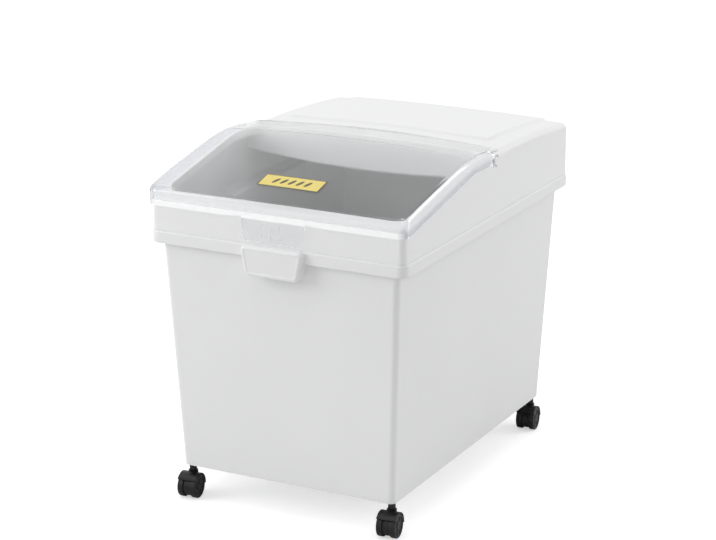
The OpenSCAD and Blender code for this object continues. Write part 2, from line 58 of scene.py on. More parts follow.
def pick(piece, verts=None, edges=None, faces=None):
    """Selects in edit mode what passes a test: of a point's place, of an edge's two ends,
    or of a face's middle and normal."""
    bpy.ops.mesh.select_mode(type="VERT" if verts else "EDGE" if edges else "FACE")
    bpy.ops.mesh.select_all(action="DESELECT")
    bm = bmesh.from_edit_mesh(piece.data)
    for v in bm.verts:
        if verts and verts(v.co):
            v.select = True
    for e in bm.edges:
        if edges and edges(e.verts[0].co, e.verts[1].co):
            e.select = True
    for f in bm.faces:
        if faces and faces(f.calc_center_median(), f.normal):
            f.select = True
    bm.select_flush_mode()
    bmesh.update_edit_mesh(piece.data)


def block(name, low, high):
    """A block between two corners, left in object mode."""
    nothing_selected()
    middle = [(a + b) / 2 for a, b in zip(low, high)]
    bpy.ops.mesh.primitive_cube_add(size=1, location=middle)
    piece = bpy.context.object
    piece.name = name
    bpy.ops.transform.resize(value=[b - a for a, b in zip(low, high)])
    bpy.ops.object.transform_apply(location=True, rotation=True, scale=True)
    return piece


def round_bar(name, centre, radius, length, along, sides=48):
    """A round bar along the axis X or Z."""
    nothing_selected()
    turn = (0, math.pi / 2, 0) if along == "X" else (0, 0, 0)
    bpy.ops.mesh.primitive_cylinder_add(vertices=sides, radius=radius, depth=length,
                                        location=centre, rotation=turn)
    piece = bpy.context.object
    piece.name = name
    bpy.ops.object.transform_apply(location=True, rotation=True, scale=True)
    return piece


def merge_in(piece, other, operation):
    """Welds on, cuts away or keeps what is shared with another solid, which is used up."""
    take_up(piece)
    step = piece.modifiers.new("weld", "BOOLEAN")
    step.operation = operation
    step.object = other
    step.solver = "EXACT"
    bpy.ops.object.modifier_apply(modifier=step.name)
    bpy.data.objects.remove(other)


SLIVER = 0.00003


def soften(piece, width=0, angle=38):
    """Clears the slivers that welding leaves, rounds edges sharper than the angle where a
    width is given, and shades the rest smooth."""
    take_up(piece)
    bpy.ops.object.mode_set(mode="EDIT")
    bpy.ops.mesh.select_all(action="SELECT")
    bpy.ops.mesh.remove_doubles(threshold=SLIVER)
    bpy.ops.mesh.dissolve_degenerate(threshold=SLIVER)
    bpy.ops.object.mode_set(mode="OBJECT")
    if width:
        step = piece.modifiers.new("edge", "BEVEL")
        step.width = width
        step.segments = 2
        step.limit_method = "ANGLE"
        step.angle_limit = math.radians(angle)
        step.use_clamp_overlap = True
        bpy.ops.object.modifier_apply(modifier=step.name)
    bpy.ops.object.shade_smooth_by_angle(angle=math.radians(32))
    step = piece.modifiers.new("even_shading", "WEIGHTED_NORMAL")
    step.keep_sharp = True
    bpy.ops.object.modifier_apply(modifier=step.name)


# The pull grip stands out at the front, so the bin stands a little back of its box's
# middle. Pieces are modelled about the bin's own middle and then set back.
SET_BACK = 0.005


def set_back(piece):
    """Moves a finished piece back to where the frame has it."""
    take_up(piece)
    bpy.ops.transform.translate(value=(0, SET_BACK, 0))
    bpy.ops.object.transform_apply(location=True, rotation=True, scale=True)


def draw_up(piece, now, w, d, r, z):
    """Draws the open end of a wall on to a rounded outline, w wide and d deep with corners
    of radius r, at height z."""
    bpy.ops.mesh.extrude_region_move(TRANSFORM_OT_translate={"value": (0, 0, z - now[3])})
    bpy.ops.mesh.select_mode(type="VERT")
    bm = bmesh.from_edit_mesh(piece.data)
    ring = [v.index for v in bm.verts if v.select]
    for side in (-1, 1):
        for end in (-1, 1):
            bpy.ops.mesh.select_all(action="DESELECT")
            bm = bmesh.from_edit_mesh(piece.data)
            bm.verts.ensure_lookup_table()
            for i in ring:
                if bm.verts[i].co.x * side > 0 and bm.verts[i].co.y * end > 0:
                    bm.verts[i].select = True
            bm.select_flush_mode()
            old = (side * (now[0] / 2 - now[2]), end * (now[1] / 2 - now[2]), z)
            shift = (side * (w / 2 - r) - old[0], end * (d / 2 - r) - old[1], 0)
            bpy.ops.transform.resize(value=(r / now[2], r / now[2], 1), center_override=old)
            bpy.ops.transform.translate(value=shift)
    bpy.ops.mesh.select_all(action="DESELECT")
    bm = bmesh.from_edit_mesh(piece.data)
    bm.verts.ensure_lookup_table()
    for i in ring:
        bm.verts[i].select = True
    bm.select_flush_mode()
    bmesh.update_edit_mesh(piece.data)
    return (w, d, r, z)


BASE, FLOOR_UNDERSIDE, FLOOR_TOP = 0.046, 0.056, 0.0595
LIP_FOOT, LIP_ROOF, LIP_TOP, UPSTAND_TOP = 0.359, 0.373, 0.376, 0.386
FOOT_WIDTH, FOOT_DEPTH = 0.314, 0.469
FLARE_WIDTH, FLARE_DEPTH = 0.0285, 0.035
WALL, INNER_CORNER, OUTER_CORNER = 0.003, 0.0055, 0.0085
LIP_INSIDE = (0.364, 0.516, 0.010)
UPSTAND_OUTSIDE = (0.3588, 0.5108, 0.006)
UPSTAND_INSIDE = (0.3538, 0.5058, 0.0035)


def tub_outline(z, less, r):
    """The tapered wall's outline at height z, made smaller all round by less."""
    rise = (z - BASE) / (LIP_FOOT - BASE)
    return (FOOT_WIDTH + FLARE_WIDTH * rise - 2 * less,
            FOOT_DEPTH + FLARE_DEPTH * rise - 2 * less, r, z)


def lip_outline(z, less):
    """The lip's outer outline at height z, made smaller all round by less to round its edges."""
    return (0.370 - 2 * less, 0.522 - 2 * less, 0.013 - less, z)


nothing_selected()
end = tub_outline(FLOOR_UNDERSIDE, WALL, INNER_CORNER)
bpy.ops.mesh.primitive_plane_add(size=1, location=(0, 0, end[3]))
tub = bpy.context.object
tub.name = "tub_moulding"
bpy.ops.transform.resize(value=(end[0], end[1], 1))
bpy.ops.object.transform_apply(location=True, rotation=True, scale=True)
bpy.ops.object.mode_set(mode="EDIT")
bpy.ops.mesh.select_all(action="SELECT")
bpy.ops.mesh.bevel(offset=end[2], segments=10, affect="VERTICES")
for outline in (
    tub_outline(BASE, WALL, INNER_CORNER),
    tub_outline(BASE, 0, OUTER_CORNER),
    tub_outline(LIP_ROOF, 0, OUTER_CORNER),
    (*LIP_INSIDE, LIP_ROOF),
    (*LIP_INSIDE, LIP_FOOT),
    lip_outline(LIP_FOOT, 0.0012),
    lip_outline(LIP_FOOT + 0.0004, 0.00035),
    lip_outline(LIP_FOOT + 0.0012, 0),
    lip_outline(LIP_TOP - 0.0028, 0),
    lip_outline(LIP_TOP - 0.0017, 0.0002),
    lip_outline(LIP_TOP - 0.0008, 0.0008),
    lip_outline(LIP_TOP - 0.0002, 0.00175),
    lip_outline(LIP_TOP, 0.0028),
    (*UPSTAND_OUTSIDE, LIP_TOP),
    (*UPSTAND_OUTSIDE, UPSTAND_TOP),
    (*UPSTAND_INSIDE, UPSTAND_TOP),
    (*UPSTAND_INSIDE, LIP_TOP),
    tub_outline(LIP_TOP, WALL, INNER_CORNER),
    tub_outline(FLOOR_TOP, WALL, INNER_CORNER),
):
    end = draw_up(tub, end, *outline)
bpy.ops.mesh.select_all(action="SELECT")
bpy.ops.mesh.normals_make_consistent(inside=False)
bpy.ops.object.mode_set(mode="OBJECT")


CORNER_SHARE = 0.82


def shield(name, top_half, foot_half, top_z, foot_z, y_back, y_front, top_r, foot_r):
    """An upright plate across the front, narrower at its foot, with rounded corners."""
    piece = block(name, (-top_half, y_front, foot_z), (top_half, y_back, top_z))
    bpy.ops.object.mode_set(mode="EDIT")
    pick(piece, verts=lambda p: p.z < foot_z + 1e-4)
    bpy.ops.transform.resize(value=(foot_half / top_half, 1, 1), center_override=(0, 0, 0))
    for level, radius in ((top_z, top_r), (foot_z, foot_r)):
        pick(piece, edges=lambda a, b: abs(a.y - b.y) > 1e-3 and abs(a.x) > foot_half - 1e-4
             and abs(a.z - level) < 1e-5 and abs(b.z - level) < 1e-5)
        bpy.ops.mesh.bevel(offset=radius * CORNER_SHARE, segments=8, affect="EDGES")
    bpy.ops.object.mode_set(mode="OBJECT")
    return piece


GRIP_FRONT = -0.271
GRIP_ROUNDING = 0.0042
grip = shield("pull_grip", top_half=0.046, foot_half=0.038, top_z=LIP_TOP, foot_z=0.336,
              y_back=-0.250, y_front=GRIP_FRONT, top_r=0.011, foot_r=0.008)
bpy.ops.object.mode_set(mode="EDIT")
pick(grip, edges=lambda a, b: a.y < GRIP_FRONT + 1e-4 and b.y < GRIP_FRONT + 1e-4)
bpy.ops.mesh.bevel(offset=GRIP_ROUNDING, segments=6, affect="EDGES")
pick(grip, faces=lambda c, n: n.y < -0.9999)
# A shallow sunk field. Its border is narrower than the corners that the rounding leaves.
for border, depth in ((0.0006, 0), (0.0011, -0.0006), (0.0003, 0)):
    bpy.ops.mesh.inset(thickness=border, depth=depth)
bpy.ops.object.mode_set(mode="OBJECT")
merge_in(tub, grip, "UNION")
finger_space = shield("finger_space", top_half=0.0405, foot_half=0.0345, top_z=0.371, foot_z=0.335,
                      y_back=-0.2515, y_front=-0.2675, top_r=0.008, foot_r=0.0005)
merge_in(tub, finger_space, "DIFFERENCE")


def rib(x, y, z):
    """Welds a thin rib into the tub, between two values along each axis."""
    low, high = zip(sorted(x), sorted(y), z)
    merge_in(tub, block("rib", low, high), "UNION")


HALF_RIB = 0.00125
LIP_RIB_LEVELS = (0.361, 0.374)
FLOOR_RIB_LEVELS = (0.050, 0.0565)
for side in (-1, 1):
    for y in (-0.168, -0.084, 0, 0.084, 0.168):
        rib((side * 0.17025, side * 0.1845), (y - HALF_RIB, y + HALF_RIB), LIP_RIB_LEVELS)
    for x in (-0.0856, 0.0856):
        rib((x - HALF_RIB, x + HALF_RIB), (side * 0.251, side * 0.2605), LIP_RIB_LEVELS)
for y in (-0.11725, 0, 0.11725):
    rib((-0.1555, 0.1555), (y - HALF_RIB, y + HALF_RIB), FLOOR_RIB_LEVELS)
for x in (-0.0523, 0.0523):
    rib((x - HALF_RIB, x + HALF_RIB), (-0.233, 0.233), FLOOR_RIB_LEVELS)

# The seat for the sleeve's flange is cut first, so that the socket's foot meets it cleanly.
STEM_X, STEM_Y = 0.149, 0.223
for side in (-1, 1):
    for back in (-1, 1):
        for name, middle, radius, length, operation in (
            ("flange_seat", 0.0465, 0.00642, 0.003, "DIFFERENCE"),
            ("socket", 0.057, 0.00702, 0.018, "UNION"),
            ("socket_bore", 0.0554, 0.00554, 0.0168, "DIFFERENCE"),
        ):
            at = (side * STEM_X, back * STEM_Y, middle)
            merge_in(tub, round_bar(name, at, radius, length, "Z"), operation)
soften(tub)
set_back(tub)


def white_plastic(name, colour, roughness):
    """Satin white moulding: a fine skin, slight flow marks, and a gloss that varies a little."""
    mat = bpy.data.materials.new(name)
    mat.use_nodes = True
    nt = mat.node_tree
    shader = nt.nodes["Principled BSDF"]
    place = nt.nodes.new("ShaderNodeTexCoord")
    flow = nt.nodes.new("ShaderNodeTexNoise")
    flow.inputs["Scale"].default_value = 6.0
    flow.inputs["Detail"].default_value = 4.0
    flow.inputs["Distortion"].default_value = 0.6
    tint = nt.nodes.new("ShaderNodeValToRGB")
    tint.color_ramp.elements[0].position = 0.3
    tint.color_ramp.elements[0].color = [c * 0.985 for c in colour] + [1]
    tint.color_ramp.elements[1].position = 0.7
    tint.color_ramp.elements[1].color = list(colour) + [1]
    skin = nt.nodes.new("ShaderNodeTexNoise")
    skin.inputs["Scale"].default_value = 900.0
    skin.inputs["Detail"].default_value = 2.0
    gloss = nt.nodes.new("ShaderNodeMapRange")
    gloss.inputs["From Min"].default_value = 0.3
    gloss.inputs["From Max"].default_value = 0.7
    gloss.inputs["To Min"].default_value = roughness - 0.05
    gloss.inputs["To Max"].default_value = roughness + 0.05
    grain = nt.nodes.new("ShaderNodeBump")
    grain.inputs["Strength"].default_value = 0.10
    grain.inputs["Distance"].default_value = 0.0002
    link = nt.links.new
    link(place.outputs["Object"], flow.inputs["Vector"])
    link(place.outputs["Object"], skin.inputs["Vector"])
    link(flow.outputs["Fac"], tint.inputs["Fac"])
    link(tint.outputs["Color"], shader.inputs["Base Color"])
    link(flow.outputs["Fac"], gloss.inputs["Value"])
    link(gloss.outputs["Result"], shader.inputs["Roughness"])
    link(skin.outputs["Fac"], grain.inputs["Height"])
    link(grain.outputs["Normal"], shader.inputs["Normal"])
    shader.inputs["IOR"].default_value = 1.49
    return mat


tub_plastic = white_plastic("tub_white_polypropylene", (0.88, 0.882, 0.885), 0.42)
tub.data.materials.clear()
tub.data.materials.append(tub_plastic)
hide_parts("bin_tub")
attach(tub, "tub")


# ---- Stem sleeves and stems --------------------------------------------------
# Black nylon sleeves pushed up into the tub's sockets, and the black-oxided steel
# stems in them. They are turned parts whose shape in the frame is already right.

def dress(node, mat):
    """Gives a part that keeps the frame's own shape its material."""
    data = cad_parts[node].data
    data.materials.clear()
    data.materials.append(mat)


def black_finish(name, colour, roughness, metal, scale):
    """A black part with a fine, uneven gloss. Metal is 1 for oxided steel and 0 for plastic."""
    mat = bpy.data.materials.new(name)
    mat.use_nodes = True
    nt = mat.node_tree
    shader = nt.nodes["Principled BSDF"]
    place = nt.nodes.new("ShaderNodeTexCoord")
    uneven = nt.nodes.new("ShaderNodeTexNoise")
    uneven.inputs["Scale"].default_value = scale
    uneven.inputs["Detail"].default_value = 3.0
    tint = nt.nodes.new("ShaderNodeValToRGB")
    tint.color_ramp.elements[0].position = 0.35
    tint.color_ramp.elements[0].color = [c * 0.8 for c in colour] + [1]
    tint.color_ramp.elements[1].position = 0.65
    tint.color_ramp.elements[1].color = [c * 1.2 for c in colour] + [1]
    gloss = nt.nodes.new("ShaderNodeMapRange")
    gloss.inputs["To Min"].default_value = roughness - 0.08
    gloss.inputs["To Max"].default_value = roughness + 0.08
    grain = nt.nodes.new("ShaderNodeBump")
    grain.inputs["Strength"].default_value = 0.15
    grain.inputs["Distance"].default_value = 0.0001
    link = nt.links.new
    link(place.outputs["Object"], uneven.inputs["Vector"])
    link(uneven.outputs["Fac"], tint.inputs["Fac"])
    link(tint.outputs["Color"], shader.inputs["Base Color"])
    link(uneven.outputs["Fac"], gloss.inputs["Value"])
    link(gloss.outputs["Result"], shader.inputs["Roughness"])
    link(uneven.outputs["Fac"], grain.inputs["Height"])
    link(grain.outputs["Normal"], shader.inputs["Normal"])
    shader.inputs["Metallic"].default_value = metal
    shader.inputs["Specular IOR Level"].default_value = 0.3
    return mat


CORNERS = {
    "front_left": (-1, -1),
    "front_right": (1, -1),
    "rear_left": (-1, 1),
    "rear_right": (1, 1),
}
sleeve_nylon = black_finish("sleeve_black_nylon", (0.020, 0.020, 0.022), 0.55, 0.0, 400.0)
stem_steel = black_finish("stem_black_oxide", (0.045, 0.045, 0.048), 0.38, 1.0, 500.0)
for corner in CORNERS:
    dress("stem_sleeve_" + corner, sleeve_nylon)
    dress("caster_stem_" + corner, stem_steel)


# ---- Caster bodies -----------------------------------------------------------
# Each body is one black moulding: a hood over both wheels, a solid web between
# them that carries the axle, and a round boss that turns on the stem. One body is
# modelled upright at the origin, then copied to the four stems and turned.

CASTER_TURN = 5


def to_corner(first, name, corner):
    """A copy with its own mesh, turned a little about its stem and set at that corner."""
    side, back = CORNERS[corner]
    take_up(first)
    bpy.ops.object.duplicate(linked=False)
    piece = bpy.context.object
    piece.name = name
    piece.rotation_euler = (0, 0, math.radians(CASTER_TURN))
    piece.location = (side * STEM_X, back * STEM_Y + SET_BACK, 0)
    bpy.ops.object.transform_apply(location=True, rotation=True, scale=True)
    return piece


AXLE_Y, AXLE_Z = -0.008, 0.016
HOOD_RADIUS, HOOD_LENGTH = 0.0185, 0.0264
WHEEL_ROOM = 0.017
body = round_bar("caster_body", (0, AXLE_Y, AXLE_Z), HOOD_RADIUS, HOOD_LENGTH, "X", 96)
wedge = block("hood_sector", (-0.02, AXLE_Y, 0.0144), (0.02, 0.03, 0.05))
bpy.ops.object.mode_set(mode="EDIT")
pick(wedge, verts=lambda p: p.y < 0 and p.z > 0.04)
bpy.ops.transform.translate(value=(0, -0.040, 0))
pick(wedge, verts=lambda p: p.y < 0 and p.z < 0.02)
bpy.ops.transform.translate(value=(0, 0, 0.0016))
bpy.ops.object.mode_set(mode="OBJECT")
merge_in(body, wedge, "INTERSECT")
merge_in(body, round_bar("web", (0, AXLE_Y, AXLE_Z), 0.014, 0.0096, "X", 64), "UNION")
merge_in(body, round_bar("boss", (0, 0, 0.0325), 0.0066, 0.006, "Z"), "UNION")
for side in (-1, 1):
    at = (side * 0.018, AXLE_Y, AXLE_Z)
    merge_in(body, round_bar("wheel_room", at, WHEEL_ROOM, HOOD_LENGTH, "X", 96), "DIFFERENCE")
merge_in(body, round_bar("stem_bore", (0, 0, 0.03), 0.00305, 0.06, "Z"), "DIFFERENCE")
merge_in(body, round_bar("head_pocket", (0, 0, 0.009), 0.0040, 0.0188, "Z"), "DIFFERENCE")
soften(body, 0.0004)
body_plastic = black_finish("caster_black_plastic", (0.009, 0.009, 0.010), 0.34, 0.0, 300.0)
body.data.materials.append(body_plastic)
for corner in CORNERS:
    piece = to_corner(body, "caster_hood_" + corner, corner)
    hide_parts("caster_body_" + corner)
    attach(piece, "caster_" + corner)
bpy.data.objects.remove(body)


# ---- Axles and wheels --------------------------------------------------------
# The steel axles carry two hard black wheels each, one on either side of the web.
# A wheel has a rounded tread, a dished face with six low spokes, and a raised hub.

for corner in CORNERS:
    dress("caster_axle_" + corner, stem_steel)

WHEEL_RADIUS, WHEEL_WIDTH, WHEEL_X = 0.016, 0.0081, 0.00915
# Each step is how far in from the last edge, and how far out (or, below 0, down).
FACE_STEPS = ((0.0028, 0), (0.0008, -0.0012), (0.0066, 0), (0.0004, 0.0010), (0.0023, 0),
              (0.0002, -0.0012))
BACK_STEPS = ((0.0028, 0), (0.0003, -0.0040), (0.0078, 0), (0.0002, 0.0040))
SPOKE_APART, SPOKE_HALF = 60, 7.5


def from_axle(p):
    return math.hypot(p.y - AXLE_Y, p.z - AXLE_Z)


def on_spoke(c, n):
    """Picks the faces of six spokes between the hub and the tread's rim."""
    angle = math.degrees(math.atan2(c.z - AXLE_Z, c.y - AXLE_Y)) % SPOKE_APART
    return (n.x > 0.99 and 0.0065 < from_axle(c) < 0.0118
            and min(angle, SPOKE_APART - angle) < SPOKE_HALF)


def step_in(steps):
    """Insets the picked faces step by step."""
    for border, depth in steps:
        bpy.ops.mesh.inset(thickness=border, depth=depth)


wheel = round_bar("caster_wheel", (WHEEL_X, AXLE_Y, AXLE_Z), WHEEL_RADIUS, WHEEL_WIDTH, "X", 96)
bpy.ops.object.mode_set(mode="EDIT")
pick(wheel, faces=lambda c, n: n.x > 0.99)
step_in(FACE_STEPS)
pick(wheel, faces=on_spoke)
bpy.ops.mesh.inset(thickness=0.0003, depth=0.0007)
pick(wheel, faces=lambda c, n: n.x < -0.99)
step_in(BACK_STEPS)
pick(wheel, edges=lambda a, b: abs(a.x - b.x) < 1e-5
     and min(from_axle(a), from_axle(b)) > WHEEL_RADIUS - 1e-4)
bpy.ops.mesh.bevel(offset=0.0012, segments=4, affect="EDGES")
bpy.ops.object.mode_set(mode="OBJECT")
merge_in(wheel, round_bar("axle_bore", (0.009, AXLE_Y, AXLE_Z), 0.00205, 0.02, "X"), "DIFFERENCE")
soften(wheel, 0.0002, angle=50)
wheel_plastic = black_finish("wheel_black_nylon", (0.010, 0.010, 0.011), 0.38, 0.0, 350.0)
wheel.data.materials.append(wheel_plastic)
take_up(wheel)
bpy.ops.object.duplicate(linked=False)
wheel_other = bpy.context.object
bpy.ops.object.mode_set(mode="EDIT")
bpy.ops.mesh.select_all(action="SELECT")
bpy.ops.transform.resize(value=(-1, 1, 1), center_override=(0, 0, 0))
bpy.ops.mesh.normals_make_consistent(inside=False)
bpy.ops.object.mode_set(mode="OBJECT")
soften(wheel_other)
for corner, (side, back) in CORNERS.items():
    facing_out, facing_in = (wheel, wheel_other) if side > 0 else (wheel_other, wheel)
    for which, first in (("outer", facing_out), ("inner", facing_in)):
        piece = to_corner(first, which + "_wheel_tread_" + corner, corner)
        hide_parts(which + "_wheel_" + corner)
        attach(piece, which + "_wheel_" + corner)
bpy.data.objects.remove(wheel)
bpy.data.objects.remove(wheel_other)


# ---- Cover -------------------------------------------------------------------
# The white cover stands on the tub's lip: upright walls, rails that slope beside
# the mouth, and a crowned rear deck with a low raised panel. A rim hangs into the
# mouth, and a barrel-shaped trough lets the lid's rear edge swing below the deck.

COVER_HALF, COVER_END, COVER_FOOT = 0.183, 0.259, LIP_TOP
DECK_Y, DECK_Z = 0.030, 0.460
PANEL_HALF, PANEL_FRONT, PANEL_RISE = 0.149, 0.06, 0.0025
COVER_CORNER, COVER_SHOULDER = 0.009, 0.008
BLOCK_TOP = 0.5
HINGE_Y, HINGE_Z = 0.006, 0.450
NEAR = 1e-4


def rail_height(y):
    """The sloping rail's edge beside the mouth."""
    return 0.422 + (y + COVER_END) * math.tan(math.radians(11))


def deck_height(y):
    """The rear deck's edge, which falls away to the rear."""
    return DECK_Z - 0.012 * (max(0, y - DECK_Y) / (COVER_END - DECK_Y)) ** 2


def side_height(y):
    """The cover's side edge: the rail up to the deck, and then the deck."""
    return min(rail_height(y), deck_height(y))


def deck_crown(y):
    """How much higher the top is at the middle than at the sides."""
    if y < DECK_Y:
        return 0.006 * (1 - ((y - DECK_Y) / (COVER_END + DECK_Y)) ** 2)
    return 0.006 - 0.003 * ((y - DECK_Y) / (COVER_END - DECK_Y)) ** 2


def slice_across(piece, axis, places):
    """Cuts lines across a piece at these places along an axis, to shape it by."""
    take_up(piece)
    bpy.ops.object.mode_set(mode="EDIT")
    for p in places:
        bpy.ops.mesh.select_all(action="SELECT")
        bpy.ops.mesh.bisect(plane_co=[p if k == axis else 0 for k in range(3)],
                            plane_no=[1 if k == axis else 0 for k in range(3)])
    bpy.ops.object.mode_set(mode="OBJECT")


def set_top(piece, x, y, low, z):
    """Brings the top point at one crossing of the cut lines to height z."""
    pick(piece, verts=lambda p: abs(p.y - y) < NEAR and abs(p.x - x) < NEAR and p.z > low)
    bpy.ops.transform.translate(value=(0, 0, z - BLOCK_TOP))


def upright(a, b):
    """Says whether an edge stands straight up."""
    return math.hypot(a.x - b.x, a.y - b.y) < NEAR


def round_shoulders(piece, radius, above, back_too):
    """Rounds the edges where the top meets the upright walls."""
    bpy.ops.mesh.select_mode(type="EDGE")
    bpy.ops.mesh.select_all(action="DESELECT")
    bm = bmesh.from_edit_mesh(piece.data)
    for e in bm.edges:
        if len(e.link_faces) == 2 and min(v.co.z for v in e.verts) > above:
            tops = [f.normal.z > 0.7 for f in e.link_faces]
            walls = [abs(f.normal.z) < 0.02 and (back_too or f.normal.y < 0.9)
                     for f in e.link_faces]
            if (tops[0] and walls[1]) or (tops[1] and walls[0]):
                e.select = True
    bm.select_flush_mode()
    bmesh.update_edit_mesh(piece.data)
    bpy.ops.mesh.bevel(offset=radius, segments=7, affect="EDGES")


def make_shell(piece, thickness):
    """Gives an open skin its wall thickness, inwards."""
    step = piece.modifiers.new("wall", "SOLIDIFY")
    step.thickness = thickness
    step.offset = -1
    step.use_even_offset = True
    bpy.ops.object.modifier_apply(modifier=step.name)


def cover_form(name, low, lowered):
    """The cover's outer form as a full block, from low up, with its top let down by lowered."""
    piece = block(name, (-COVER_HALF, -COVER_END, low), (COVER_HALF, COVER_END, BLOCK_TOP))
    ys = [-0.234, -0.20, -0.17, -0.14, -0.11, -0.085, -0.0715, -0.0635, -0.0555, -0.03, 0, 0.03,
          0.058, 0.062, 0.09, 0.12, 0.15, 0.18, 0.21, 0.236]
    xs = [-0.151, -0.148, -0.111, -0.074, -0.037, 0, 0.037, 0.074, 0.111, 0.148, 0.151]
    slice_across(piece, 1, ys)
    slice_across(piece, 0, xs)
    bpy.ops.object.mode_set(mode="EDIT")
    for y in [-COVER_END] + ys + [COVER_END]:
        for x in [-COVER_HALF] + xs + [COVER_HALF]:
            panel = PANEL_RISE if abs(x) < PANEL_HALF and y > PANEL_FRONT else 0
            crown = deck_crown(y) * (1 - (x / COVER_HALF) ** 2)
            set_top(piece, x, y, 0.45, side_height(y) + crown + panel - lowered)
    pick(piece, edges=lambda a, b: upright(a, b) and abs(a.x) > 0.18 and abs(a.y) > 0.25)
    bpy.ops.mesh.bevel(offset=COVER_CORNER, segments=8, affect="EDGES")
    round_shoulders(piece, COVER_SHOULDER, 0.39, True)
    bpy.ops.object.mode_set(mode="OBJECT")
    return piece


def mouth_block(name, half, front, rear, radius):
    """An upright block with rounded corners, as large as the mouth."""
    piece = block(name, (-half, front, 0.38), (half, rear, 0.52))
    bpy.ops.object.mode_set(mode="EDIT")
    pick(piece, edges=lambda a, b: abs(a.z - b.z) > 0.1)
    bpy.ops.mesh.bevel(offset=radius, segments=10, affect="EDGES")
    bpy.ops.object.mode_set(mode="OBJECT")
    return piece


def hinge_barrel(name, half, less):
    """A barrel about the hinge line, widest at the middle of the bin, made thinner all
    round by less. It is drawn out from a thin disc in 16 steps."""
    disc = 0.001
    now = 0.0225 - less
    piece = round_bar(name, (-half + disc / 2, HINGE_Y, HINGE_Z), now, disc, "X", 96)
    bpy.ops.object.mode_set(mode="EDIT")
    pick(piece, faces=lambda c, n: n.x > 0.99)
    for i in range(1, 17):
        u = i / 8 - 1
        radius = 0.0325 - 0.010 * u * u - less
        step = half / 8 - (disc if i == 1 else 0)
        bpy.ops.mesh.extrude_region_move(TRANSFORM_OT_translate={"value": (step, 0, 0)})
        bpy.ops.transform.resize(value=(1, radius / now, radius / now),
                                 center_override=(0, HINGE_Y, HINGE_Z))
        now = radius
    bpy.ops.object.mode_set(mode="OBJECT")
    return piece


def hinge_disc(name, side, x0, x1, radius):
    """A round disc on the hinge line at the left (-1) or right (1), from x0 out to x1."""
    return round_bar(name, (side * (x0 + x1) / 2, HINGE_Y, HINGE_Z), radius, x1 - x0, "X")


cover = cover_form("cover_moulding", COVER_FOOT, 0)
bpy.ops.object.mode_set(mode="EDIT")
pick(cover, faces=lambda c, n: n.z < -0.9)
bpy.ops.mesh.delete(type="FACE")
bpy.ops.object.mode_set(mode="OBJECT")
make_shell(cover, WALL)

MOUTH_HALF, MOUTH_FRONT, MOUTH_REAR, MOUTH_CORNER = 0.171, -0.239, -0.011, 0.018
RIM_WALL, RIM_DEPTH = 0.0025, 0.011
TROUGH_HALF, TROUGH_FRONT = 0.1795, -0.008
BOSS_IN, BOSS_RADIUS = 0.172, 0.008
UNDER_TOP = 0.0003


def behind_front(y):
    """Everything behind y, to cut a barrel by."""
    return block("front_limit", (-0.2, y, 0.39), (0.2, 0.2, 0.6))


rim = mouth_block("mouth_rim", MOUTH_HALF + RIM_WALL, MOUTH_FRONT - RIM_WALL,
                  MOUTH_REAR + RIM_WALL, MOUTH_CORNER + RIM_WALL)
merge_in(rim, cover_form("inside_top", 0.3, UNDER_TOP), "INTERSECT")
merge_in(rim, cover_form("rim_foot", 0.3, RIM_DEPTH), "DIFFERENCE")
merge_in(cover, rim, "UNION")
trough = hinge_barrel("trough_wall", TROUGH_HALF + WALL, -WALL)
merge_in(trough, behind_front(TROUGH_FRONT - WALL), "INTERSECT")
merge_in(trough, cover_form("deck_limit", 0.3, UNDER_TOP), "INTERSECT")
merge_in(cover, trough, "UNION")
mouth = mouth_block("mouth", MOUTH_HALF, MOUTH_FRONT, MOUTH_REAR, MOUTH_CORNER)
merge_in(cover, mouth, "DIFFERENCE")
trough = hinge_barrel("trough_space", TROUGH_HALF, 0)
merge_in(trough, behind_front(TROUGH_FRONT), "INTERSECT")
for side in (-1, 1):
    merge_in(trough, hinge_disc("pin_boss", side, BOSS_IN, 0.19, BOSS_RADIUS), "DIFFERENCE")
merge_in(cover, trough, "DIFFERENCE")
for side in (-1, 1):
    merge_in(cover, hinge_disc("pin_boss", side, BOSS_IN, 0.182, BOSS_RADIUS), "UNION")
    merge_in(cover, hinge_disc("ear_recess", side, 0.1807, 0.19, 0.0091), "DIFFERENCE")
    merge_in(cover, hinge_disc("pin_bore", side, 0.16, 0.19, 0.00302), "DIFFERENCE")
soften(cover)
set_back(cover)
cover_plastic = white_plastic("cover_white_polypropylene", (0.90, 0.902, 0.905), 0.36)
cover.data.materials.clear()
cover.data.materials.append(cover_plastic)
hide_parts("top_cover")
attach(cover, "cover")


# ---- Hinge pins --------------------------------------------------------------
# Two short white plastic pins, pushed through the lid's ears into the cover's
# bosses. They are turned shapes that the frame already has.

for side in ("left", "right"):
    dress("hinge_pin_" + side, cover_plastic)


# ---- Clear flip lid ----------------------------------------------------------
# One clear polycarbonate moulding, 2.5 mm thick: a domed top whose skirt laps over
# the cover's front and sides, a finger tab, and two round ears on the hinge pins.

LID_HALF, LID_FRONT, LID_REAR = 0.1863, -0.263, 0.0425
LID_WALL, SKIRT_DROP = 0.0025, 0.012
LID_CORNER, LID_SHOULDER = 0.012, 0.007
PEAK_Y, PEAK_Z, PEAK_CROWN = -0.066, 0.4685, 0.0075


def lid_height(y):
    """The side edge of the lid's top, which is highest a little in front of the hinge."""
    if y < PEAK_Y:
        u = (PEAK_Y - y) / (PEAK_Y - LID_FRONT)
        return PEAK_Z - 0.0355 * u ** 1.7 - 0.003 * math.sin(math.pi * u) ** 2
    return PEAK_Z - 0.008 * ((y - PEAK_Y) / (DECK_Y - PEAK_Y)) ** 2


